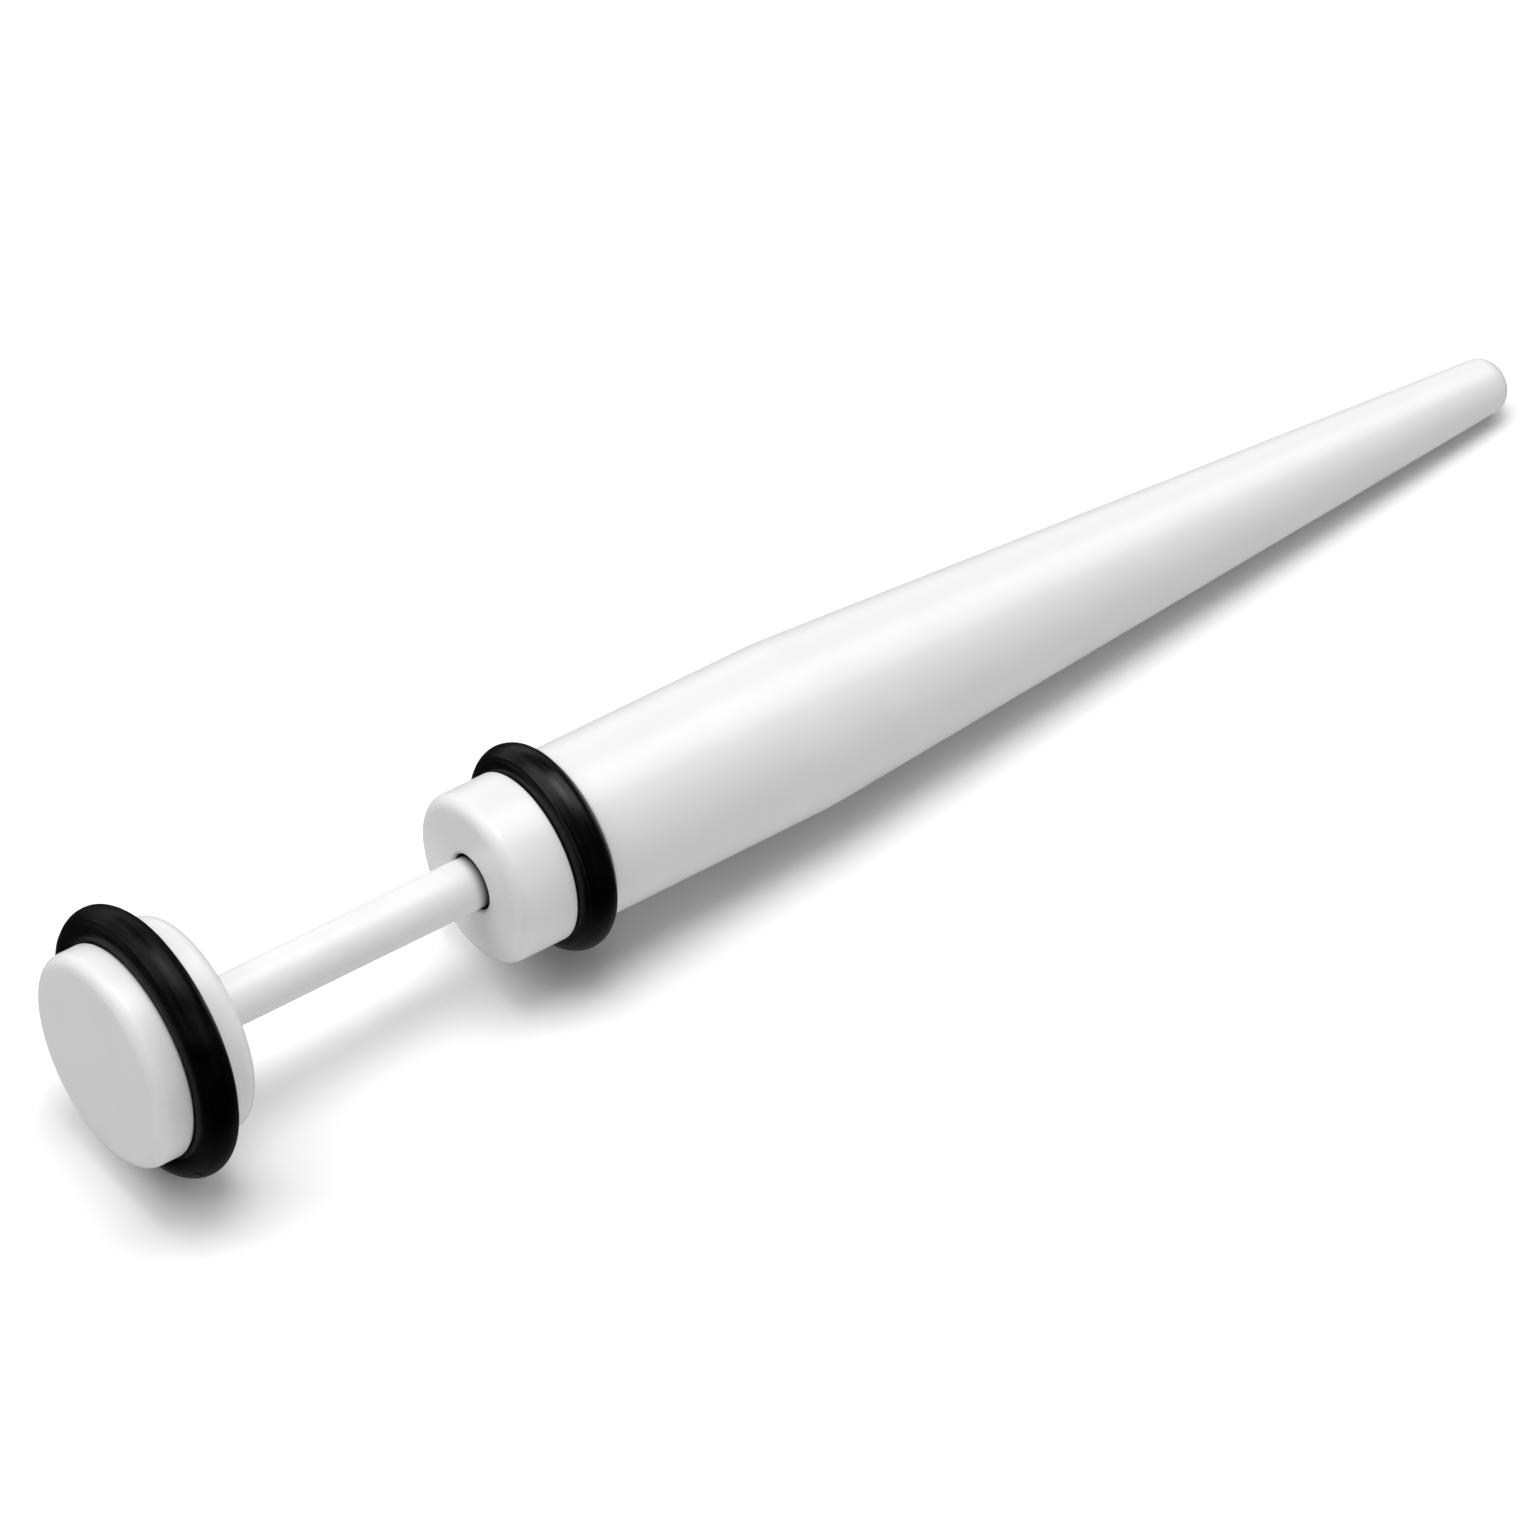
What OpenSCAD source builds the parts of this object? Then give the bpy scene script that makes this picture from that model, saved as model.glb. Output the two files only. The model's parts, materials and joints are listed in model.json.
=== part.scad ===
// Faux taper earring, lying on a flat surface.
// A grooved front disc sits on a thin post. The post screws into the flat end of a long round taper.
// The disc and the taper each wear a rubber O-ring in a groove.
//
// Each piece is drawn upright on its own axis, with +Z from the disc towards the tip and the
// middle of the disc at z = 0. lay_down() then rests the earring on its front O-ring and its tip.

/* [Front disc] */
// Diameter of the front disc
disc_d = 5; // [4.8:0.1:5.4]
// Thickness of the front disc
disc_len = 2.5; // [2.2:0.1:3.2]
// Rounding of the disc's front edge
disc_front_round = 0.3; // [0.15:0.05:0.45]
// Rounding of the disc's back edge
disc_back_round = 0.35; // [0.15:0.05:0.45]

/* [Post] */
// Diameter of the post where it passes through the ear
post_d = 1.2; // [1:0.1:1.6]
// Bare length of the post, from the disc to the taper
ear_gap = 7.15; // [6:0.05:11]
// Length of the post's end inside the taper
post_engage = 4.2; // [3:0.1:5.5]

/* [Taper] */
// Diameter of the taper's straight part
body_d = 4; // [3.6:0.1:4.4]
// Length of the straight part, from the flat end to the shoulder
straight_len = 8.6; // [6.5:0.05:10]
// Whole length of the taper
taper_len = 28.85; // [22:0.05:32]
// Diameter that the cone would have at the very end of the tip
tip_d = 1.28; // [1.2:0.02:1.6]
// Rounding of the tip
tip_round = 0.54; // [0.4:0.02:0.56]
// Rounding of the flat end's edge
neck_round = 0.3; // [0.15:0.05:0.4]
// Radius of the slight bend at the shoulder
shoulder_round = 12; // [5:1:30]

/* [O-rings] */
// Thickness of the rubber cord of both O-rings
cord_d = 0.96; // [0.9:0.02:1]
// Outer diameter of the front O-ring
front_ring_od = 6.34; // [6.3:0.02:6.6]
// Outer diameter of the back O-ring
back_ring_od = 4.9; // [4.84:0.02:4.92]
// Distance from the taper's flat end to the middle of the back O-ring
back_ring_at = 1.95; // [1.4:0.05:3]

/* [Fits] */
// Clearance between each O-ring and its groove
groove_gap = 0.02; // [0.01:0.01:0.04]
// Clearance all round the post's end in the taper's bore
bore_gap = 0.04; // [0.02:0.01:0.08]
// Clearance all round the post in the wide mouth of the hole
mouth_gap = 0.13; // [0.08:0.01:0.2]

/* [Hidden] */
$fn = 96;
white = "#f2f2f0";
black = "#1b1b1c";

// Radii of the pieces
disc_r = disc_d / 2;
post_r = post_d / 2;
body_r = body_d / 2;
tip_r = tip_d / 2;
cord_r = cord_d / 2;
groove_r = cord_r + groove_gap;
front_ring_r = (front_ring_od - cord_d) / 2;
back_ring_r = (back_ring_od - cord_d) / 2;

// The post has a thinner screwed end in the taper and a thicker head set in the disc
screw_r = post_r - 0.16;
screw_chamfer = 0.15;
shank_into_mouth = 0.12;
head_r = post_r + 0.2;
head_len = 1.1;
head_gap = 0.02;

// The hole in the taper has a wide mouth, then a bore a little deeper than the screwed end
bore_r = screw_r + bore_gap;
bore_end_gap = 0.3;
mouth_r = post_r + mouth_gap;
mouth_len = 0.9;

// Stations along the axis
disc_back = disc_len / 2;
neck_face = disc_back + ear_gap;
shoulder = neck_face + straight_len;
tip_end = neck_face + taper_len;
back_ring_z = neck_face + back_ring_at;

// The cone, and the centre of the tip's rounding
cone_len = tip_end - shoulder;
cone_angle = atan((body_r - tip_r) / cone_len);
tip_centre_z = tip_end - tip_round;
cone_r_there = tip_r + tip_round * tan(cone_angle);
tip_centre_r = cone_r_there - tip_round / cos(cone_angle);

// Tilt at which a round edge touches the floor together with the front O-ring:
// r is the radius of the edge's centre circle, rounding its own radius and z its station
function rest_tilt(r, rounding, z) =
    let (drop = front_ring_r - r)
    atan(drop / z) + asin((cord_r - rounding) / norm([drop, z]));

// The earring rests on whichever round edge meets the floor first
tilt = min(
    rest_tilt(tip_centre_r, tip_round, tip_centre_z),
    rest_tilt(body_r, 0, shoulder),
    rest_tilt(back_ring_r, cord_r, back_ring_z));

// Height of the axis at the disc, and the two ends of the lying earring along X
axis_height = front_ring_r * cos(tilt) + cord_r;
low_end = -(disc_len / 2 - disc_front_round) * cos(tilt)
    - (disc_r - disc_front_round) * sin(tilt) - disc_front_round;
high_end = tip_centre_z * cos(tilt) + tip_centre_r * sin(tilt) + tip_round;

module lay_down() {
    translate([-(low_end + high_end) / 2, 0, axis_height]) rotate([0, 90 + tilt, 0]) children();
}

// The half of the plane that a profile may fill before it is turned about the axis
module right_half() {
    translate([0, -50]) square([50, 150]);
}

module o_ring(centre_r, z) {
    translate([0, 0, z]) rotate_extrude() translate([centre_r, 0]) circle(r = cord_r);
}

module groove(centre_r, z) {
    translate([centre_r, z]) circle(r = groove_r);
}

// A disc with rounded edges, a groove for the O-ring and a blind socket for the post
module disc_profile() {
    front = -disc_len / 2;
    difference() {
        union() {
            polygon([
                [0, front], [disc_r - disc_front_round, front], [disc_r, front + disc_front_round],
                [disc_r, disc_back - disc_back_round], [disc_r - disc_back_round, disc_back],
                [0, disc_back]]);
            translate([disc_r - disc_front_round, front + disc_front_round])
                circle(r = disc_front_round);
            translate([disc_r - disc_back_round, disc_back - disc_back_round])
                circle(r = disc_back_round);
        }
        groove(front_ring_r, 0);
        translate([0, disc_back - head_len - head_gap])
            square([head_r + head_gap, head_len + head_gap]);
    }
}

// A straight shank, with a head that is set in the disc and a thinner screwed end
module post_profile() {
    head_start = disc_back - head_len;
    shank_end = neck_face + shank_into_mouth;
    screw_end = neck_face + post_engage;
    polygon([
        [0, head_start], [head_r, head_start], [head_r, disc_back], [post_r, disc_back],
        [post_r, shank_end], [screw_r, shank_end + post_r - screw_r],
        [screw_r, screw_end - screw_chamfer], [screw_r - screw_chamfer, screw_end],
        [0, screw_end]]);
}

// The slight bend between the straight part and the cone, as points on one arc
function shoulder_arc(steps = 6) =
    let (reach = shoulder_round * tan(cone_angle / 2))
    [for (i = [0:steps])
        let (a = cone_angle * i / steps)
        [body_r - shoulder_round * (1 - cos(a)), shoulder - reach + shoulder_round * sin(a)]];

// A straight part and a cone, with a rounded flat end, a groove and a blind hole with a wide mouth
module taper_profile() {
    tip_tangent = [tip_centre_r + tip_round * cos(cone_angle),
                   tip_centre_z + tip_round * sin(cone_angle)];
    intersection() {
        right_half();
        difference() {
            union() {
                polygon(concat(
                    [[0, neck_face], [body_r - neck_round, neck_face],
                     [body_r, neck_face + neck_round]],
                    shoulder_arc(),
                    [tip_tangent, [tip_centre_r, tip_end], [0, tip_end]]));
                translate([body_r - neck_round, neck_face + neck_round]) circle(r = neck_round);
                translate([tip_centre_r, tip_centre_z]) circle(r = tip_round);
            }
            groove(back_ring_r, back_ring_z);
            translate([0, neck_face]) square([mouth_r, mouth_len]);
            translate([0, neck_face]) square([bore_r, post_engage + bore_end_gap]);
        }
    }
}

module front_disc() {
    color(white) lay_down() rotate_extrude() disc_profile();
}

module front_o_ring() {
    color(black) lay_down() o_ring(front_ring_r, 0);
}

module post() {
    color(white) lay_down() rotate_extrude() post_profile();
}

module taper() {
    color(white) lay_down() rotate_extrude() taper_profile();
}

module back_o_ring() {
    color(black) lay_down() o_ring(back_ring_r, back_ring_z);
}

front_disc();
front_o_ring();
post();
taper();
back_o_ring();
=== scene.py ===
# %% [markdown]
# # A faux taper earring, lying on a white table
#
# This is a small turned piece of body jewellery. A grooved disc sits in front of the ear lobe, a thin post
# goes through it, and a long white taper screws on behind. The disc and the taper each wear a black rubber
# O-ring. Everything is round about one axis, so the lesson works like a lathe: each piece is drawn as half
# an outline and turned, and only then laid down on the table.

# %% Load the frame
import json
import math

import bpy
from mathutils import Matrix, Vector


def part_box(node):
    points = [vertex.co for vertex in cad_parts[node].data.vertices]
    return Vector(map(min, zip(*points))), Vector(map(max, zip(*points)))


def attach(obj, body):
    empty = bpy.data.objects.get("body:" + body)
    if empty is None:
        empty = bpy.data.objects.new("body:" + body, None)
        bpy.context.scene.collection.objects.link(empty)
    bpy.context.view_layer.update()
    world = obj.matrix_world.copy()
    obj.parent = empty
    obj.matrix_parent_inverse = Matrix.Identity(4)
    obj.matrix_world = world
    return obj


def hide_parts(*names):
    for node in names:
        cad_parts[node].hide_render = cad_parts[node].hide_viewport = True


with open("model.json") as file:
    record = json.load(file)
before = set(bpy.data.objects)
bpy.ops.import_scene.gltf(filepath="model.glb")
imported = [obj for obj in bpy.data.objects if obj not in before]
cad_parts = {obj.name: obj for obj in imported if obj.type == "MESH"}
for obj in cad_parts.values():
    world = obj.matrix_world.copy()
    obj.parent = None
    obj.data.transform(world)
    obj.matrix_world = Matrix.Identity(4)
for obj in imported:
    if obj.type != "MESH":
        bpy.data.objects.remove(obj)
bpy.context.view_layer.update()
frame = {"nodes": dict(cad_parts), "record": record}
MM = 0.001

# %% [markdown]
# ## The axis of the lying earring
#
# The frame holds the real sizes, so they are read from it and not typed again. The post is a mount in the
# record, with a point on the axis and the axis's direction. A station is a distance along that axis, and
# the middle of the front O-ring is station zero. Every other size below is a station or a radius, in
# millimetres: the reaches and largest radii of the pieces are measured on the frame's solids, the rest
# given.

# %% Find the axis
POST_MOUNT = next(m for m in frame["record"]["mounts"] if m["name"] == "ear_post")
AXIS = Vector(POST_MOUNT["axis"]).normalized()
ON_AXIS = Vector(POST_MOUNT["pos_m"])


def spread(node):
    """Lowest station, highest station and largest radius of a node, in metres, from ON_AXIS"""
    places = [v.co - ON_AXIS for v in frame["nodes"][node].data.vertices]
    stations = [p.dot(AXIS) for p in places]
    radii = [(p - p.dot(AXIS) * AXIS).length for p in places]
    return min(stations), max(stations), max(radii)


ring_low, ring_high, _ = spread("front_o_ring")
ORIGIN = ON_AXIS + AXIS * (ring_low + ring_high) / 2
BEHIND = (ON_AXIS - ORIGIN).length


def reach(node):
    """Lowest station, highest station and largest radius of a node, in millimetres, to 0.01"""
    low, high, radius = spread(node)
    return round((low + BEHIND) / MM, 2), round((high + BEHIND) / MM, 2), round(radius / MM, 2)


for node_name in frame["nodes"]:
    print(node_name, "stations and radius, mm:", reach(node_name))

# %% [markdown]
# ## The lathe
#
# A lathe makes a round part by cutting half its outline. Here one vertex is the point of the tool. Extrude
# drags it along a straight cut, and Spin swings it through a round one. When the half outline is whole,
# Spin turns it once about the Z axis. Modelling from a cylinder with bevels would also work, but the
# outline keeps every radius of the frame exact, and a drawn arc is smoother than a bevel.
#
# A straight cut gets a second vertex close to each of its ends. They hold the shading of the flat or
# straight face, so that a gloss finish doesn't smear the bend over it.

# %% Draw and turn an outline
TURN_STEPS = 192
ARC_STEP = 5
HOLD = 0.03
# In metres: vertices this close are merged, and places this close count as the same
CLOSED_UP = 1.1e-6
NEARLY = 4e-6
tool = Vector((0, 0, 0))


def clear_selection():
    """Leaves object mode with nothing selected"""
    if bpy.context.mode != "OBJECT":
        bpy.ops.object.mode_set(mode="OBJECT")
    bpy.ops.object.select_all(action="DESELECT")


def start_outline(name, r, z):
    """A plane that is merged to one vertex, which is the point of the tool"""
    clear_selection()
    bpy.ops.mesh.primitive_plane_add(size=MM, location=(0, 0, 0))
    piece = bpy.context.active_object
    piece.name = piece.data.name = name
    bpy.ops.object.mode_set(mode="EDIT")
    bpy.ops.mesh.select_mode(type="VERT")
    bpy.ops.mesh.select_all(action="SELECT")
    bpy.ops.mesh.merge(type="CENTER")
    bpy.ops.transform.translate(value=(r * MM, 0, z * MM))
    tool.xyz = (r, 0, z)
    return piece


def cut(r, z):
    """Extrudes the tool's vertex straight to a new place"""
    goal = Vector((r, 0, z))
    bpy.ops.mesh.extrude_region_move(TRANSFORM_OT_translate={"value": (goal - tool) * MM})
    tool.xyz = goal


def straight(r, z):
    """A straight cut with a holding vertex close to each end"""
    begin, goal = tool.copy(), Vector((r, 0, z))
    length = (goal - begin).length
    if length > 4 * HOLD:
        near = begin.lerp(goal, HOLD / length)
        far = goal.lerp(begin, HOLD / length)
        cut(near.x, near.z)
        cut(far.x, far.z)
    cut(r, z)


def swing(r, z, degrees, step=ARC_STEP):
    """Spins the tool's vertex about a centre, anticlockwise seen with Z up and the radius to the right"""
    centre = Vector((r, 0, z))
    steps = max(2, math.ceil(abs(degrees) / step))
    bpy.ops.mesh.spin(steps=steps, angle=math.radians(degrees), center=centre * MM, axis=(0, 1, 0))
    tool.xyz = centre + Matrix.Rotation(-math.radians(degrees), 3, "Y") @ (tool - centre)


def turn(piece, steps=TURN_STEPS):
    """Turns the outline once about the Z axis and closes its seam and its ends on the axis"""
    bpy.ops.mesh.select_all(action="SELECT")
    bpy.ops.mesh.spin(steps=steps, angle=math.tau, center=(0, 0, 0), axis=(0, 0, 1))
    bpy.ops.mesh.select_all(action="SELECT")
    bpy.ops.mesh.remove_doubles(threshold=CLOSED_UP)
    bpy.ops.mesh.normals_make_consistent(inside=False)
    clear_selection()
    print(piece.name, "turned:", len(piece.data.polygons), "faces")
    return piece


# %% [markdown]
# ## The front disc
#
# The disc is a short white drum that hides the piercing. Its front edge is softly rounded, and so is the
# back edge that lies against the lobe. A round groove in its side holds the O-ring, and a blind socket in
# its back holds the post's head. The lips of the groove are broken with a small bevel, as a turner does
# with a file, because a perfectly sharp edge looks like a drawing.

# %% Turn the front disc
DISC_FRONT, DISC_BACK, DISC_R = reach("front_disc")
DISC_FRONT_ROUND = 0.3
DISC_BACK_ROUND = 0.35
CORD_R = round(reach("front_o_ring")[1], 2)
GROOVE_GAP = 0.02
GROOVE_R = CORD_R + GROOVE_GAP
GROOVE_STEP = 8
FRONT_RING_R = reach("front_o_ring")[2] - CORD_R
LIP_BREAK = 0.035
LIP_SEGMENTS = 3
POST_R = POST_MOUNT["dims"]["r_mm"]
HEAD_R = 0.8
HEAD_START = DISC_BACK - 1.1
HEAD_END = DISC_BACK - 0.15
SOCKET_GAP = 0.02


def groove(ring_r, station, body_r):
    """Cuts a round groove whose arc is centred on the O-ring's cord"""
    half_width = math.sqrt(GROOVE_R ** 2 - (body_r - ring_r) ** 2)
    start = math.degrees(math.atan2(-half_width, body_r - ring_r)) % 360
    end = math.degrees(math.atan2(half_width, body_r - ring_r))
    straight(body_r, station - half_width)
    swing(ring_r, station, end - start, step=GROOVE_STEP)
    return half_width


def break_lips(piece, r, stations):
    """Bevels the sharp edges at a radius and some stations"""
    clear_selection()
    bpy.context.view_layer.objects.active = piece
    piece.select_set(True)
    bpy.ops.object.mode_set(mode="EDIT")
    bpy.ops.mesh.select_mode(type="EDGE")
    bpy.ops.mesh.select_all(action="DESELECT")
    bpy.ops.object.mode_set(mode="OBJECT")
    for edge in piece.data.edges:
        ends = [piece.data.vertices[i].co for i in edge.vertices]
        round_lip = all(abs(end.xy.length - r * MM) < NEARLY for end in ends)
        at_station = any(all(abs(end.z - s * MM) < NEARLY for end in ends) for s in stations)
        edge.select = round_lip and at_station
    found = sum(edge.select for edge in piece.data.edges)
    bpy.ops.object.mode_set(mode="EDIT")
    bpy.ops.mesh.bevel(offset=LIP_BREAK * MM, segments=LIP_SEGMENTS, affect="EDGES")
    clear_selection()
    print(piece.name, "lip edges bevelled:", found)


disc = start_outline("front_disc_turned", 0, DISC_FRONT)
straight(DISC_R - DISC_FRONT_ROUND, DISC_FRONT)
swing(DISC_R - DISC_FRONT_ROUND, DISC_FRONT + DISC_FRONT_ROUND, 90)
lip = groove(FRONT_RING_R, 0, DISC_R)
straight(DISC_R, DISC_BACK - DISC_BACK_ROUND)
swing(DISC_R - DISC_BACK_ROUND, DISC_BACK - DISC_BACK_ROUND, 90)
straight(POST_R + SOCKET_GAP, DISC_BACK)
cut(POST_R + SOCKET_GAP, HEAD_END + SOCKET_GAP)
cut(HEAD_R + SOCKET_GAP, HEAD_END + SOCKET_GAP)
cut(HEAD_R + SOCKET_GAP, HEAD_START - SOCKET_GAP)
cut(0, HEAD_START - SOCKET_GAP)
turn(disc)
break_lips(disc, DISC_R, [-lip, lip])

# %% [markdown]
# ## The taper
#
# The taper is the long white body behind the ear. It has a flat end with a rounded edge and a deep hole,
# a groove for the second O-ring, a straight part, one slight bend at the shoulder, a straight cone and
# a round tip. The bend's arc has a radius six times that of the body, so its centre lies on the other
# side of the axis.

# %% Turn the taper
NECK, TIP_END, BODY_R = reach("taper")
NECK_ROUND = 0.3
SHOULDER = NECK + 8.6
SHOULDER_ROUND = 12
TIP_R = 0.64
TIP_ROUND = 0.54
MOUTH_R = POST_R + 0.05
MOUTH_LEN = 0.9
MOUTH_ROUND = 0.12
BORE_R = 0.48
BORE_END = NECK + 4.5
STEP_BREAK = 0.05
MOUTH_STEP = 9
BEND_STEP = 0.3
TIP_STEP = 4
BACK_LOW, BACK_HIGH, BACK_RING_OUT = reach("back_o_ring")
BACK_RING_Z = (BACK_LOW + BACK_HIGH) / 2
BACK_RING_R = BACK_RING_OUT - CORD_R
CONE = math.atan((BODY_R - TIP_R) / (TIP_END - SHOULDER))
TIP_CENTRE_Z = TIP_END - TIP_ROUND
TIP_CENTRE_R = TIP_R + TIP_ROUND * math.tan(CONE) - TIP_ROUND / math.cos(CONE)
BEND_START = SHOULDER - SHOULDER_ROUND * math.tan(CONE / 2)

taper = start_outline("taper_turned", 0, BORE_END)
straight(BORE_R, BORE_END)
straight(BORE_R, NECK + MOUTH_LEN + STEP_BREAK)
cut(BORE_R + STEP_BREAK, NECK + MOUTH_LEN)
cut(MOUTH_R, NECK + MOUTH_LEN)
straight(MOUTH_R, NECK + MOUTH_ROUND)
swing(MOUTH_R + MOUTH_ROUND, NECK + MOUTH_ROUND, 90, step=MOUTH_STEP)
straight(BODY_R - NECK_ROUND, NECK)
swing(BODY_R - NECK_ROUND, NECK + NECK_ROUND, 90)
lip = groove(BACK_RING_R, BACK_RING_Z, BODY_R)
straight(BODY_R, BEND_START)
swing(BODY_R - SHOULDER_ROUND, BEND_START, math.degrees(CONE), step=BEND_STEP)
straight(TIP_CENTRE_R + TIP_ROUND * math.cos(CONE), TIP_CENTRE_Z + TIP_ROUND * math.sin(CONE))
swing(TIP_CENTRE_R, TIP_CENTRE_Z, 90 - math.degrees(CONE), step=TIP_STEP)
cut(0, TIP_END)
turn(taper)
break_lips(taper, BODY_R, [BACK_RING_Z - lip, BACK_RING_Z + lip])
print("cone angle, degrees:", round(math.degrees(CONE), 2))

# %% [markdown]
# ## The post
#
# The post is a thin white pin. A wider head is set in the disc, a plain shank goes through the ear, and a
# thinner end screws into the taper. The pin is turned like the rest. The screw thread is one zigzag line,
# a pitch long, that the Screw modifier winds up the pin, so that each turn meets the next. The crude ends
# of the winding are trimmed by a turned blank with the Boolean modifier, and a second one joins the thread
# to the pin. The three pieces have step counts that share no angle, so that no two of their edges meet by
# chance, and the tiniest edges of the cuts are dissolved. Only the drawn-out earring shows the thread.

# %% Turn the post and cut its thread
POST_START, POST_END, _ = reach("post")
SHANK_END = NECK + 0.12
SHANK_BREAK = 0.04
THREAD_R = 0.47
THREAD_ROOT = 0.36
THREAD_PITCH = 0.25
CORE_R = 0.4
RELIEF_END = SHANK_END + 0.42
CORE_END = RELIEF_END + 0.1
SCREW_CHAMFER = 0.15
CREST_FLAT = 0.04
ROOT_FLAT = 0.03
SPARE_TURNS = 3
BLANK_MARGIN = 0.02
BLANK_LEAD_IN = 0.12
PIN_STEPS, WINDING_STEPS, BLANK_STEPS = 125, 48, 91
WINDING_START = math.radians(3.1)


def combine(piece, other, how):
    """Applies one Boolean modifier and removes the other piece"""
    clear_selection()
    bpy.context.view_layer.objects.active = piece
    piece.select_set(True)
    step = piece.modifiers.new(how.lower(), "BOOLEAN")
    step.operation = how
    step.solver = "EXACT"
    step.object = other
    bpy.ops.object.modifier_apply(modifier=step.name)
    bpy.data.objects.remove(other)


post = start_outline("post_turned", 0, HEAD_START)
straight(HEAD_R, HEAD_START)
straight(HEAD_R, HEAD_END)
straight(POST_R, HEAD_END)
straight(POST_R, SHANK_END - SHANK_BREAK)
cut(POST_R - SHANK_BREAK, SHANK_END)
cut(CORE_R, SHANK_END + POST_R - CORE_R)
cut(CORE_R, CORE_END)
cut(0, CORE_END)
turn(post, steps=PIN_STEPS)

flank = (THREAD_PITCH - CREST_FLAT - ROOT_FLAT) / 2
turns = math.ceil((POST_END - RELIEF_END) / THREAD_PITCH) + SPARE_TURNS
thread = start_outline("thread_winding", THREAD_ROOT, RELIEF_END - 2 * THREAD_PITCH)
cut(THREAD_ROOT, tool.z + ROOT_FLAT)
cut(THREAD_R, tool.z + flank)
cut(THREAD_R, tool.z + CREST_FLAT)
cut(THREAD_ROOT, tool.z + flank)
clear_selection()
thread.select_set(True)
winding = thread.modifiers.new("winding", "SCREW")
winding.axis = "Z"
winding.angle = math.tau
winding.screw_offset = THREAD_PITCH * MM
winding.iterations = turns
winding.steps = winding.render_steps = WINDING_STEPS
winding.use_smooth_shade = False
bpy.ops.object.modifier_apply(modifier=winding.name)
bpy.ops.object.mode_set(mode="EDIT")
bpy.ops.mesh.select_all(action="SELECT")
bpy.ops.mesh.remove_doubles(threshold=CLOSED_UP)
bpy.ops.mesh.select_all(action="DESELECT")
bpy.ops.mesh.select_non_manifold()
bpy.ops.mesh.fill(use_beauty=False)
bpy.ops.mesh.select_all(action="SELECT")
bpy.ops.mesh.normals_make_consistent(inside=False)
clear_selection()
thread.select_set(True)
thread.rotation_euler = (0, 0, WINDING_START)
bpy.ops.object.transform_apply(location=True, rotation=True, scale=True)
print("thread turns:", turns, "faces:", len(thread.data.polygons))

blank = start_outline("thread_blank", 0, RELIEF_END)
cut(THREAD_ROOT - BLANK_MARGIN, RELIEF_END)
cut(THREAD_R + BLANK_MARGIN, RELIEF_END + BLANK_LEAD_IN)
cut(THREAD_R + BLANK_MARGIN, POST_END - SCREW_CHAMFER)
cut(THREAD_R + BLANK_MARGIN - SCREW_CHAMFER, POST_END)
cut(0, POST_END)
turn(blank, steps=BLANK_STEPS)
combine(thread, blank, "INTERSECT")
combine(post, thread, "UNION")
bpy.ops.object.mode_set(mode="EDIT")
bpy.ops.mesh.select_all(action="SELECT")
bpy.ops.mesh.dissolve_degenerate(threshold=CLOSED_UP)
clear_selection()
print("post with thread:", len(post.data.polygons), "faces")

# %% [markdown]
# ## The O-rings
#
# Each O-ring is a loop of rubber cord that is stretched into its groove. A torus has the right outline, but
# it is too perfect. A moulded ring has a hair-thin parting line, where the two halves of the mould met. On
# these rings it lies on the side that looks at the disc, a little over halfway from the outside to the
# front, because the ring rolls when it is stretched on. The cord's outline is swung nearly all the way
# round and closed with a small ridge at that place. The cord is also never quite even: a Displace modifier
# with a cloud pattern takes about a hundredth of a millimetre off it. The pattern only ever takes away, so
# the ring stays within the frame's own ring. The front ring also has a small dimple, pressed in with a
# proportional move.

# %% Model the O-rings
RING_STEPS = 256
CORD_STEP = 6
SEAM_AT = -48
SEAM_HALF = 2.6
SEAM_HEIGHT = 0.008
UNEVEN = 0.012
UNEVEN_GRAIN = 0.9
DIMPLE_AROUND = -58
DIMPLE_ON_CORD = -45
DIMPLE_DEPTH = 0.035
DIMPLE_REACH = 0.13


def o_ring(name, ring_r, station):
    """A rubber ring with a parting line, a little uneven"""
    def on_cord(degrees, r):
        angle = math.radians(degrees)
        return ring_r + r * math.cos(angle), station + r * math.sin(angle)

    foot = on_cord(SEAM_AT + SEAM_HALF, CORD_R - SEAM_HEIGHT)
    ring = start_outline(name, *foot)
    swing(ring_r, station, 360 - 2 * SEAM_HALF, step=CORD_STEP)
    cut(*on_cord(SEAM_AT, CORD_R))
    cut(*foot)
    turn(ring, steps=RING_STEPS)

    cloud = bpy.data.textures.new(name + "_uneven", "CLOUDS")
    cloud.noise_scale = UNEVEN_GRAIN * MM
    cloud.noise_depth = 2
    worn = ring.modifiers.new("uneven", "DISPLACE")
    worn.texture = cloud
    worn.texture_coords = "LOCAL"
    worn.mid_level = 1
    worn.strength = UNEVEN * MM
    ring.select_set(True)
    bpy.ops.object.modifier_apply(modifier=worn.name)
    return ring


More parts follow.
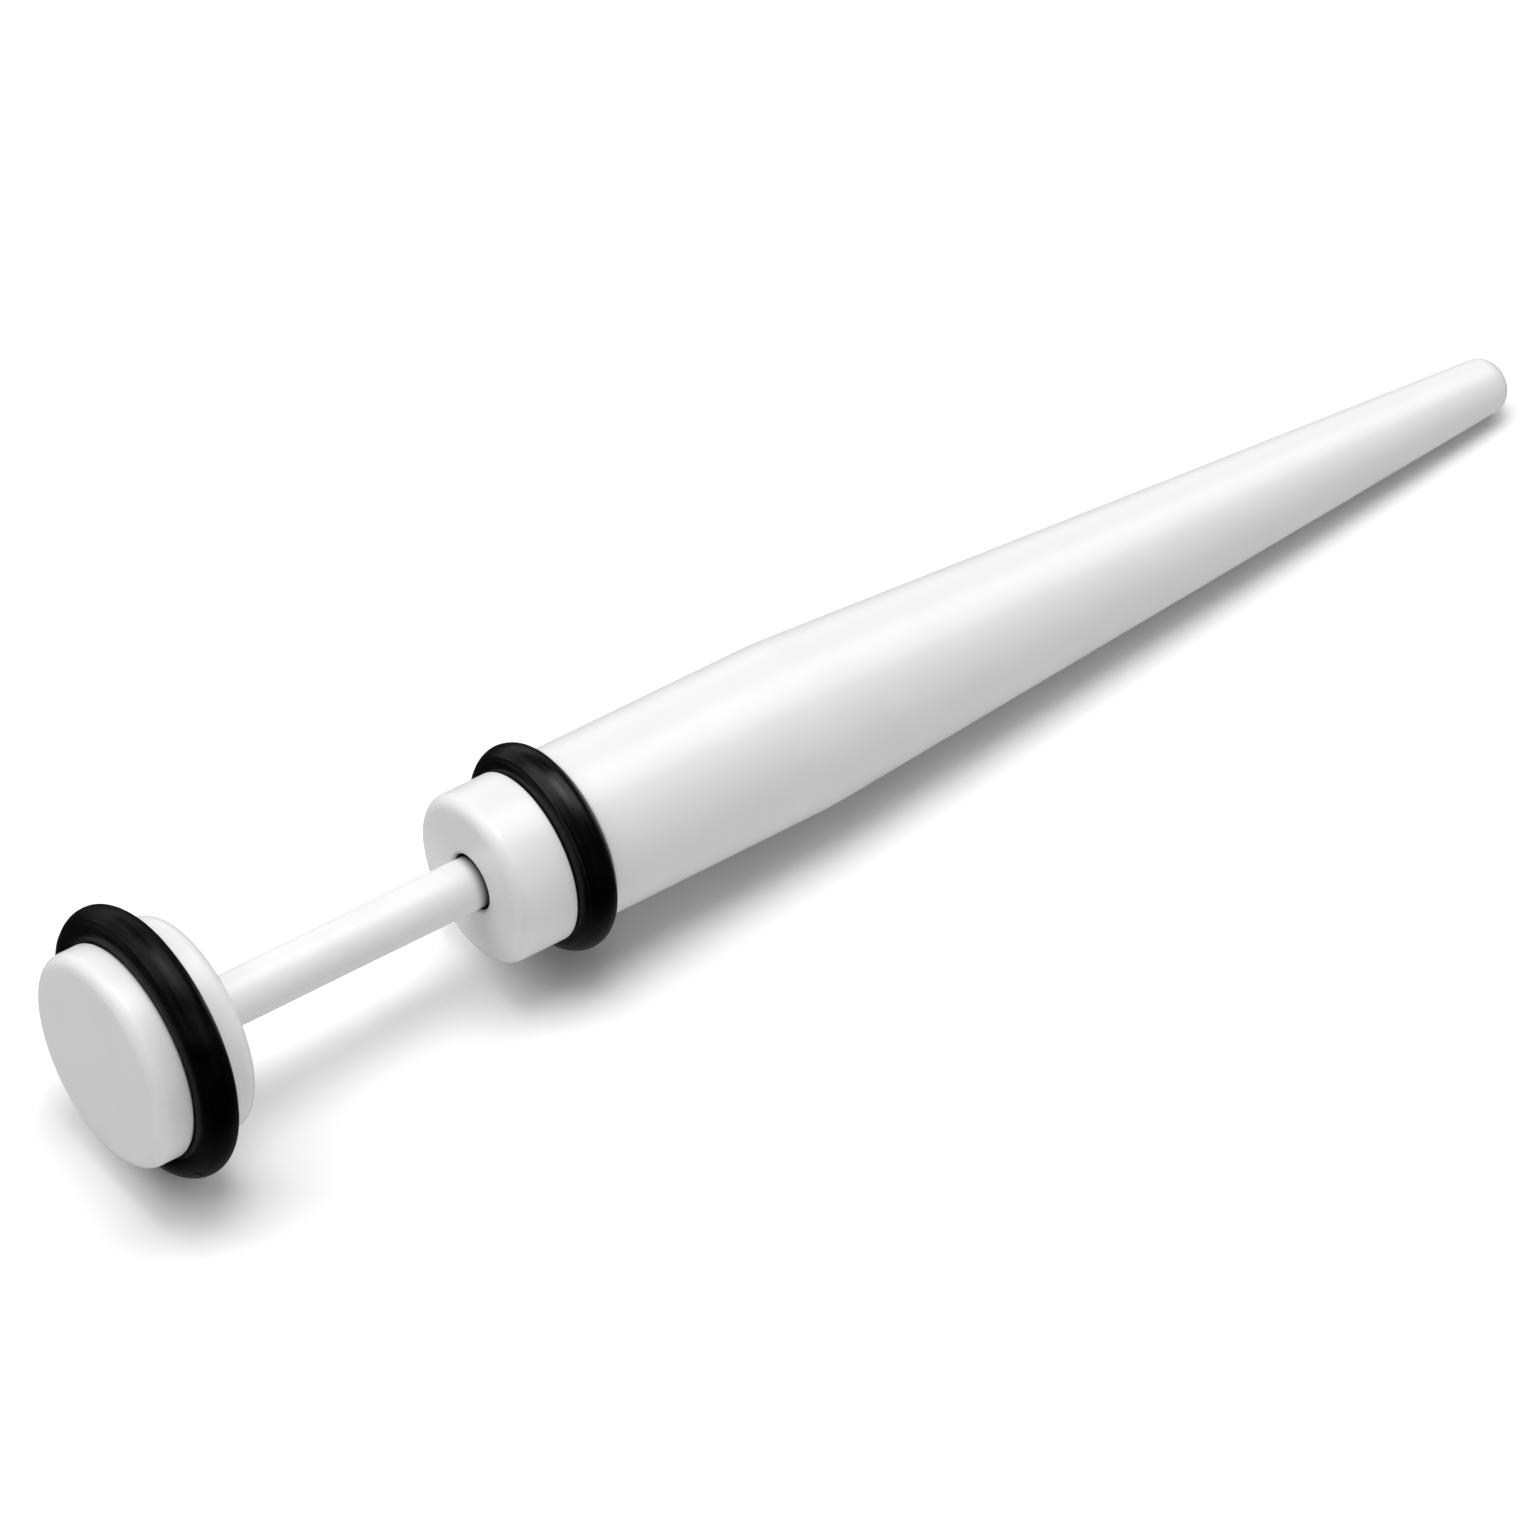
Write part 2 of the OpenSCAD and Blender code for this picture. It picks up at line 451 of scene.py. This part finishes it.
def press_dimple(ring, ring_r, station):
    """Moves the vertex nearest to the dimple's place inwards, and its neighbours with it"""
    around, on_cord = math.radians(DIMPLE_AROUND), math.radians(DIMPLE_ON_CORD)
    outwards = Vector((math.cos(around), math.sin(around), 0))
    facing = outwards * math.cos(on_cord) + Vector((0, 0, math.sin(on_cord)))
    place = (outwards * ring_r + Vector((0, 0, station)) + facing * CORD_R) * MM
    nearest = min(ring.data.vertices, key=lambda vertex: (vertex.co - place).length).index
    clear_selection()
    ring.select_set(True)
    bpy.context.view_layer.objects.active = ring
    bpy.ops.object.mode_set(mode="EDIT")
    bpy.ops.mesh.select_mode(type="VERT")
    bpy.ops.mesh.select_all(action="DESELECT")
    bpy.ops.object.mode_set(mode="OBJECT")
    ring.data.vertices[nearest].select = True
    bpy.ops.object.mode_set(mode="EDIT")
    bpy.ops.transform.translate(
        value=-facing * DIMPLE_DEPTH * MM, use_proportional_edit=True,
        proportional_edit_falloff="SMOOTH", proportional_size=DIMPLE_REACH * MM)
    clear_selection()
    print(ring.name, "dimple at, mm:", [round(x / MM, 2) for x in place])


front_ring = o_ring("front_o_ring_moulded", FRONT_RING_R, 0)
press_dimple(front_ring, FRONT_RING_R, 0)
back_ring = o_ring("back_o_ring_moulded", BACK_RING_R, BACK_RING_Z)

# %% [markdown]
# ## Laying the earring down
#
# Until now each piece stands upright at the lathe. The lying earring's axis dips a little towards the tip,
# because it rests on the front O-ring and on the tip. Every piece gets the same turn and the same place,
# and Apply writes them into the mesh, so the finished objects sit at the origin as the frame's do. Shade
# smooth by angle keeps the few real edges sharp, and each piece then rides on its body of the frame.

# %% Lay the pieces down and hand them to the frame
TURN_DOWN = math.atan2(AXIS.x, AXIS.z)
SHARP_EDGE = math.radians(32)


def finish_piece(piece, body, node):
    """Lays one piece down, shades it, ties it to its body and hides its node of the frame"""
    clear_selection()
    bpy.context.view_layer.objects.active = piece
    piece.select_set(True)
    piece.rotation_euler = (0, TURN_DOWN, 0)
    piece.location = ORIGIN
    bpy.ops.object.transform_apply(location=True, rotation=True, scale=True)
    bpy.ops.object.shade_smooth_by_angle(angle=SHARP_EDGE)
    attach(piece, body)
    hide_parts(node)
    low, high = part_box(node)
    apart = max(abs(piece.bound_box[0][i] - low[i]) for i in range(3))
    apart = max([apart] + [abs(piece.bound_box[6][i] - high[i]) for i in range(3)])
    print(piece.name, "on", body, "box off by, mm:", round(apart / MM, 3))


finish_piece(disc, "stud_half", "front_disc")
finish_piece(front_ring, "stud_half", "front_o_ring")
finish_piece(post, "stud_half", "post")
finish_piece(taper, "taper_half", "taper")
finish_piece(back_ring, "taper_half", "back_o_ring")

# %% [markdown]
# ## Coordinates for the finishes
#
# Turned parts carry their marks round the axis, and so does a rubber cord. A Mapping node of the Texture
# kind undoes the laying down: it turns the object's own coordinates back into those of the lathe, in
# millimetres, with Z along the axis. From there the distance to the axis and the direction round it are
# plain vector maths, and a four-dimensional noise that reads both has no seam.

# %% Helpers for the finishes
SMALLEST_RADIUS = 0.01


def new_finish(name):
    """A material with a node tree that holds only the shader and the output"""
    material = bpy.data.materials.new(name)
    material.use_nodes = True
    tree = material.node_tree
    tree.nodes.clear()
    shader = tree.nodes.new("ShaderNodeBsdfPrincipled")
    output = tree.nodes.new("ShaderNodeOutputMaterial")
    tree.links.new(shader.outputs["BSDF"], output.inputs["Surface"])
    return material, tree, shader


def lathe_coordinates(tree):
    """Millimetres on the lathe, with Z along the axis"""
    where = tree.nodes.new("ShaderNodeTexCoord")
    mapping = tree.nodes.new("ShaderNodeMapping")
    mapping.vector_type = "TEXTURE"
    mapping.inputs["Location"].default_value = ORIGIN
    mapping.inputs["Rotation"].default_value = (0, TURN_DOWN, 0)
    mapping.inputs["Scale"].default_value = (MM, MM, MM)
    tree.links.new(where.outputs["Object"], mapping.inputs["Vector"])
    return mapping.outputs["Vector"]


def maths(tree, operation, first, second=None):
    """One Math node; each operand is a number or a socket"""
    node = tree.nodes.new("ShaderNodeMath")
    node.operation = operation
    for slot_number, value in enumerate((first, second)):
        if isinstance(value, bpy.types.NodeSocket):
            tree.links.new(value, node.inputs[slot_number])
        elif value is not None:
            node.inputs[slot_number].default_value = value
    return node.outputs[0]


def noise(tree, vector, scale, detail=2, w=None):
    """Noise round its middle value of 0.5, in three or four dimensions"""
    node = tree.nodes.new("ShaderNodeTexNoise")
    node.inputs["Scale"].default_value = scale
    node.inputs["Detail"].default_value = detail
    tree.links.new(vector, node.inputs["Vector"])
    if w is not None:
        node.noise_dimensions = "4D"
        tree.links.new(w, node.inputs["W"])
    return node.outputs["Fac"]


def place_on_lathe(tree, lathe):
    """The three lathe coordinates and the distance from the axis, as sockets"""
    split = tree.nodes.new("ShaderNodeSeparateXYZ")
    tree.links.new(lathe, split.inputs[0])
    x, y = split.outputs["X"], split.outputs["Y"]
    square = maths(tree, "ADD", maths(tree, "MULTIPLY", x, x), maths(tree, "MULTIPLY", y, y))
    return split, maths(tree, "SQRT", square)


def round_marks(tree, lathe, fineness, length):
    """Noise that is drawn out round the axis: fine across, long around, and without a seam"""
    split, radius = place_on_lathe(tree, lathe)
    safe_radius = maths(tree, "MAXIMUM", radius, SMALLEST_RADIUS)
    cosine = maths(tree, "DIVIDE", split.outputs["X"], safe_radius)
    sine = maths(tree, "DIVIDE", split.outputs["Y"], safe_radius)
    joined = tree.nodes.new("ShaderNodeCombineXYZ")
    tree.links.new(maths(tree, "MULTIPLY", radius, fineness), joined.inputs["X"])
    tree.links.new(maths(tree, "MULTIPLY", split.outputs["Z"], fineness), joined.inputs["Y"])
    tree.links.new(maths(tree, "MULTIPLY", cosine, length), joined.inputs["Z"])
    return noise(tree, joined.outputs[0], 1, detail=3, w=maths(tree, "MULTIPLY", sine, length))


def ramp(tree, value, start, end, low, high):
    """Runs softly from one value to another while a socket goes from start to end"""
    node = tree.nodes.new("ShaderNodeMapRange")
    node.interpolation_type = "SMOOTHSTEP"
    node.inputs["From Min"].default_value = start
    node.inputs["From Max"].default_value = end
    node.inputs["To Min"].default_value = low
    node.inputs["To Max"].default_value = high
    tree.links.new(value, node.inputs["Value"])
    return node.outputs["Result"]


def spread_out(tree, value, low, high):
    """Maps a noise value, which mostly lies between 0.3 and 0.7, to a range"""
    return ramp(tree, value, 0.25, 0.75, low, high)


def between(tree, factor, first, second):
    """Mixes two greys by a factor socket; each grey is a number or a colour socket"""
    node = tree.nodes.new("ShaderNodeMix")
    node.data_type = "RGBA"
    for letter, grey in (("A", first), ("B", second)):
        if isinstance(grey, bpy.types.NodeSocket):
            tree.links.new(grey, node.inputs[letter])
        else:
            node.inputs[letter].default_value = (grey, grey, grey, 1)
    tree.links.new(factor, node.inputs["Factor"])
    return node.outputs["Result"]


def relief(tree, shader, layers):
    """Chains one Bump node for each height, with its depth in millimetres"""
    normal = None
    for height, depth in layers:
        bump = tree.nodes.new("ShaderNodeBump")
        bump.inputs["Strength"].default_value = 1
        bump.inputs["Distance"].default_value = depth * MM
        tree.links.new(height, bump.inputs["Height"])
        if normal:
            tree.links.new(normal, bump.inputs["Normal"])
        normal = bump.outputs["Normal"]
    tree.links.new(normal, shader.inputs["Normal"])


def dress(piece, material):
    """Gives a piece its only material"""
    piece.data.materials.clear()
    piece.data.materials.append(material)


def dress_inside(piece, material, radius, station):
    """Gives a second material to the faces within a radius of the axis and before a station"""
    clear_selection()
    bpy.context.view_layer.objects.active = piece
    piece.select_set(True)
    piece.data.materials.append(material)
    bpy.ops.object.mode_set(mode="EDIT")
    bpy.ops.mesh.select_mode(type="FACE")
    bpy.ops.mesh.select_all(action="DESELECT")
    bpy.ops.object.mode_set(mode="OBJECT")
    for face in piece.data.polygons:
        place = (face.center - ORIGIN) / MM
        along = place.dot(AXIS)
        face.select = (place - along * AXIS).length < radius and along < station
    found = sum(face.select for face in piece.data.polygons)
    bpy.ops.object.mode_set(mode="EDIT")
    piece.active_material_index = 1
    bpy.ops.object.material_slot_assign()
    clear_selection()
    print(piece.name, "faces inside the hole:", found)


# %% [markdown]
# ## White acrylic
#
# The disc and the taper are opaque white acrylic, turned and then polished. Up close the gloss isn't a
# perfect mirror but satin: the polishing wheel leaves very faint rings round the axis, the surface has a
# soft waviness, and the white has a little depth, because some light enters the plastic and comes out
# nearby. The rings and the waviness are bump far finer than a hair, and the roughness varies with the
# rings. A thin clear coat stands for the wax that is left from the polishing, and gives a tighter gleam.

# %% Mix the white acrylic
WHITE = (0.725, 0.765)
ACRYLIC_IOR = 1.49

acrylic, tree, shader = new_finish("gloss_white_acrylic")
lathe = lathe_coordinates(tree)
polish = round_marks(tree, lathe, 14, 1.2)
milkiness = noise(tree, lathe, 0.8, detail=3)
waviness = noise(tree, lathe, 1.6, detail=1)
tree.links.new(between(tree, milkiness, *WHITE), shader.inputs["Base Color"])
tree.links.new(spread_out(tree, polish, 0.38, 0.46), shader.inputs["Roughness"])
shader.inputs["IOR"].default_value = ACRYLIC_IOR
shader.inputs["Subsurface Weight"].default_value = 0.2
shader.inputs["Subsurface Radius"].default_value = (1, 1, 1)
shader.inputs["Subsurface Scale"].default_value = 0.25 * MM
shader.inputs["Coat Weight"].default_value = 0.35
shader.inputs["Coat Roughness"].default_value = 0.18
shader.inputs["Coat IOR"].default_value = ACRYLIC_IOR
relief(tree, shader, [(waviness, 0.004), (polish, 0.0006)])
dress(disc, acrylic)
dress(taper, acrylic)
print(acrylic.name, "nodes:", len(tree.nodes))

# %% [markdown]
# ## The raw hole in the taper, in painted shade
#
# The polishing wheel never reaches into the hole, so its wall stays as the drill left it: dull and ringed
# with fine tool marks. Its colour is painted shade: the wall is darkened to near black for the shadow deep
# in the hole. It is the same acrylic with a darker, rougher recipe, and it goes on the faces of the mouth
# and the bore alone. Seen past the post it is the dark crescent that tells the eye that there is a hole.

# %% Mix the raw hole, in painted shade
WALL_MARGIN = 0.01
FLOOR_MARGIN = 0.1

painted_shade_hole, tree, shader = new_finish("drilled_acrylic_painted_shade")
lathe = lathe_coordinates(tree)
tool_marks = round_marks(tree, lathe, 24, 0.8)
painted_shade_mottle = noise(tree, lathe, 3, detail=3)
# Painted shade: the hole's wall is dark grey to near black, a little mottled
tree.links.new(between(tree, painted_shade_mottle, 0.03, 0.1), shader.inputs["Base Color"])
tree.links.new(spread_out(tree, tool_marks, 0.6, 0.8), shader.inputs["Roughness"])
shader.inputs["IOR"].default_value = ACRYLIC_IOR
relief(tree, shader, [(tool_marks, 0.006)])
dress_inside(taper, painted_shade_hole, MOUTH_R + WALL_MARGIN, BORE_END + FLOOR_MARGIN)
print(painted_shade_hole.name, "nodes:", len(tree.nodes))

# %% [markdown]
# ## The post's white coat
#
# The post is a thin pin with a smooth white coat, as glossy as the acrylic but harder. A coat on a drawn
# pin shows very fine lines along the pin rather than round it, so the noise is squeezed across the axis
# and drawn out along it. Where the pin enters the hole, a soft band round the end of the shank is darkened
# with painted shade, for the shadow in the mouth of the hole. The screwed end beyond it, which works in the
# bore, is only greyed.

# %% Mix the post's white coat
PAINTED_SHADE_FROM, PAINTED_SHADE_TO = NECK - 0.25, NECK + 0.1
THREAD_GREY_FROM, THREAD_GREY_TO = SHANK_END + 0.05, RELIEF_END
THREAD_GREY_SHARE = 0.25
PAINTED_SHADE_GREY = 0.02
DRAWN_LINES = (9, 9, 0.5)

coat, tree, shader = new_finish("smooth_white_coat")
lathe = lathe_coordinates(tree)
along = tree.nodes.new("ShaderNodeVectorMath")
along.operation = "MULTIPLY"
along.inputs[1].default_value = DRAWN_LINES
tree.links.new(lathe, along.inputs[0])
drawn = noise(tree, along.outputs[0], 1, detail=3)
patchy = noise(tree, lathe, 1.5, detail=2)
coat_white = between(tree, patchy, *WHITE)
split, _ = place_on_lathe(tree, lathe)
# Painted shade: near black round the end of the shank, for the shadow in the hole's mouth; a quarter of
# that grey stays on the thread
entering = ramp(tree, split.outputs["Z"], PAINTED_SHADE_FROM, PAINTED_SHADE_TO, 0, 1)
leaving = ramp(tree, split.outputs["Z"], THREAD_GREY_FROM, THREAD_GREY_TO, 1, THREAD_GREY_SHARE)
shade_band_and_thread_grey = maths(tree, "MULTIPLY", entering, leaving)
tree.links.new(between(tree, shade_band_and_thread_grey, coat_white, PAINTED_SHADE_GREY), shader.inputs["Base Color"])
tree.links.new(spread_out(tree, drawn, 0.34, 0.42), shader.inputs["Roughness"])
shader.inputs["IOR"].default_value = 1.5
relief(tree, shader, [(drawn, 0.0008)])
dress(post, coat)
print(coat.name, "nodes:", len(tree.nodes))

# %% [markdown]
# ## Black rubber
#
# The O-rings are black rubber with a satin skin. The skin carries fine lines round the ring from the
# mould, and a pebbly grain that is only felt as softness in the highlight. On top, in patches and along the
# lines, the rubber is a little greyer: this is partly fine dust and partly painted sheen. The front ring is
# the one that fingers touch, so its skin is duller and the grey on its top is thicker. The side of the cord
# that sits in the groove has less than half the shine. Both rings come from one recipe with a few numbers.

# %% Mix the black rubber
RUBBER_BLACK = 0.0002
LINE_ROUGHNESS = 0.08
GROOVE_SHINE = 0.4
DUST_AND_SHEEN_EDGE = 0.3
# Millimetres outwards from the cord's middle: where the shine begins to grow, and where it is whole
SHINE_FROM, SHINE_TO = -0.05, 0.25


def mix_rubber(name, ring_r, shine, dust_and_sheen_grey, roughness):
    """Black rubber with mould lines, a pebbly grain, dust and painted sheen on top, and little shine in the
    groove
    """
    rubber, tree, shader = new_finish(name)
    lathe = lathe_coordinates(tree)
    mould_lines = round_marks(tree, lathe, 11, 0.9)
    patches = noise(tree, lathe, 1.1, detail=3)
    pebble = noise(tree, lathe, 28, detail=2)
    split, radius = place_on_lathe(tree, lathe)
    # Dust and painted sheen: the black is greyed on the ring's upper side, in patches along the mould lines
    on_top = ramp(tree, split.outputs["X"], -DUST_AND_SHEEN_EDGE * ring_r, -ring_r, 0, 1)
    along_lines = spread_out(tree, mould_lines, 0.1, 1)
    patches_on_lines = maths(tree, "MULTIPLY", spread_out(tree, patches, 0, 1), along_lines)
    dust_and_sheen = maths(tree, "MULTIPLY", on_top, patches_on_lines)
    tree.links.new(between(tree, dust_and_sheen, RUBBER_BLACK, dust_and_sheen_grey), shader.inputs["Base Color"])
    uneven = spread_out(tree, mould_lines, roughness - LINE_ROUGHNESS, roughness + LINE_ROUGHNESS)
    tree.links.new(uneven, shader.inputs["Roughness"])
    shader.inputs["IOR"].default_value = 1.5
    skin = ramp(tree, radius, ring_r + SHINE_FROM, ring_r + SHINE_TO, GROOVE_SHINE * shine, shine)
    tree.links.new(skin, shader.inputs["Specular IOR Level"])
    relief(tree, shader, [(mould_lines, 0.008), (pebble, 0.0015)])
    print(rubber.name, "nodes:", len(tree.nodes))
    return rubber


dress(front_ring, mix_rubber("dull_black_rubber", FRONT_RING_R, 0.12, 0.009, 0.36))
dress(back_ring, mix_rubber("satin_black_rubber", BACK_RING_R, 0.28, 0.006, 0.32))

# %% [markdown]
# ## The studio
#
# The earring lies on a plain white table, in a dim room with five soft boxes, as on a small product set.
# A large one stands behind the disc with a still wider one round it, and two smaller ones hang on the tip's
# side and almost overhead, so the tops are bright and the shadows fall softly towards the camera. A weak,
# low one near the camera opens the faces that look forwards. A polarising film takes the glare of the wide
# one and the low one away, so those two are hidden from reflections and the highlights stay few and soft.
# The table isn't seen in reflections either, where the dim room stands for it: that keeps the black rings
# black and draws the fine grey line along the top of the white taper. The room has two paler parts: a dim
# floor straight below, for the undersides, and the lit backdrop behind the earring, low on the horizon.

# %% Set the table and the lights
TABLE_SIZE = 6.0
TABLE_WHITE = 0.96
LIGHT_DISTANCE = 0.5
# Name, azimuth from +X to +Y, elevation, angular radius, power in watts, and whether it is reflected
SOFT_BOXES = [
    ("large_soft_box", 136, 53, 25, 0.95, True),
    ("wide_soft_box", 125, 57, 37, 1.43, False),
    ("side_soft_box", 10, 52, 22, 0.85, True),
    ("top_soft_box", 48, 80, 16, 1.05, True),
    ("low_soft_box", 270, 22, 14, 0.51, False),
]
ROOM_TONE = 0.02
FLOOR_TONE = 0.15
BACKDROP_TONE = 0.6
# Ends of the soft edges of the floor and the backdrop, as parts of a direction of length one
FLOOR_EDGE = (-0.6, -0.9)
BACKDROP_SIDES = (0.4, 0.9)
BACKDROP_FOOT = (-0.15, 0)
BACKDROP_TOP = (0.35, 0.2)

clear_selection()
bpy.ops.mesh.primitive_plane_add(size=TABLE_SIZE, location=(0, 0, 0))
table = bpy.context.active_object
table.name = table.data.name = "table"
table.visible_glossy = False
white_table, tree, shader = new_finish("matt_white_table")
shader.inputs["Base Color"].default_value = (TABLE_WHITE, TABLE_WHITE, TABLE_WHITE, 1)
shader.inputs["Roughness"].default_value = 1
shader.inputs["Specular IOR Level"].default_value = 0
dress(table, white_table)


def soft_box(name, azimuth, elevation, radius, power, reflected):
    """A round area light that looks at the middle of the earring and fills a cone of the given radius"""
    a, e = math.radians(azimuth), math.radians(elevation)
    towards = Vector((math.cos(a) * math.cos(e), math.sin(a) * math.cos(e), math.sin(e)))
    data = bpy.data.lights.new(name, "AREA")
    data.shape = "DISK"
    data.size = 2 * LIGHT_DISTANCE * math.tan(math.radians(radius))
    data.energy = power
    light = bpy.data.objects.new(name, data)
    bpy.context.scene.collection.objects.link(light)
    light.location = towards * LIGHT_DISTANCE
    light.rotation_euler = (-towards).to_track_quat("-Z", "Y").to_euler()
    light.visible_camera = False
    light.visible_glossy = reflected
    print(name, "diameter, mm:", round(data.size / MM), "power, W:", power, "reflected:", reflected)


for box in SOFT_BOXES:
    soft_box(*box)

room = bpy.data.worlds.new("dim_room")
bpy.context.scene.world = room
room.use_nodes = True
tree = room.node_tree
tree.nodes.clear()
direction = tree.nodes.new("ShaderNodeTexCoord").outputs["Generated"]
parts = tree.nodes.new("ShaderNodeSeparateXYZ")
tree.links.new(direction, parts.inputs[0])
floor = ramp(tree, parts.outputs["Z"], *FLOOR_EDGE, 0, FLOOR_TONE)
behind = ramp(tree, parts.outputs["Y"], *BACKDROP_SIDES, 0, BACKDROP_TONE)
above_foot = ramp(tree, parts.outputs["Z"], *BACKDROP_FOOT, 0, 1)
below_top = ramp(tree, parts.outputs["Z"], *BACKDROP_TOP, 0, 1)
backdrop = maths(tree, "MULTIPLY", behind, maths(tree, "MULTIPLY", above_foot, below_top))
background = tree.nodes.new("ShaderNodeBackground")
background.inputs["Color"].default_value = (1, 1, 1, 1)
strength = maths(tree, "ADD", maths(tree, "ADD", floor, backdrop), ROOM_TONE)
tree.links.new(strength, background.inputs["Strength"])
out = tree.nodes.new("ShaderNodeOutputWorld")
tree.links.new(background.outputs[0], out.inputs["Surface"])
room.cycles.sampling_method = "NONE"

# %% [markdown]
# ## The camera
#
# The photograph looks down at the lying earring from the disc's side, with a long lens. Its place was
# worked out from the outlines: the azimuth and the elevation give the direction, the lens and the distance
# give the size, and the pixel where the middle of the disc appears gives the framing, without any shift.

# %% Place the camera
FRAME_W, FRAME_H = 1536, 1535
SENSOR = 36
FOCAL_PIXELS = 9500
CAMERA_AZIMUTH, CAMERA_ELEVATION = -36.17, 48.55
DISC_PIXEL = (146.0, 1041.0)
DISC_DISTANCE = 202.0
NEAREST, FARTHEST = 0.01, 10

azimuth, elevation = math.radians(CAMERA_AZIMUTH), math.radians(CAMERA_ELEVATION)
right = Vector((math.cos(azimuth), math.sin(azimuth), 0))
level_back = Vector((math.sin(azimuth), -math.cos(azimuth), 0))
back = level_back * math.cos(elevation) + Vector((0, 0, math.sin(elevation)))
up = back.cross(right)
across = (DISC_PIXEL[0] - (FRAME_W - 1) / 2) / FOCAL_PIXELS
down = (DISC_PIXEL[1] - (FRAME_H - 1) / 2) / FOCAL_PIXELS
lens = bpy.data.cameras.new("camera")
lens.sensor_width = SENSOR
lens.lens = FOCAL_PIXELS / FRAME_W * SENSOR
lens.clip_start, lens.clip_end = NEAREST, FARTHEST
camera = bpy.data.objects.new("camera", lens)
bpy.context.scene.collection.objects.link(camera)
camera.location = ORIGIN - (across * right - down * up - back) * DISC_DISTANCE * MM
camera.rotation_euler = Matrix((right, up, back)).transposed().to_euler()
bpy.context.scene.camera = camera
bpy.context.scene.view_settings.view_transform = "Standard"
print("camera at, mm:", [round(x / MM, 1) for x in camera.location], "lens:", round(lens.lens, 1))
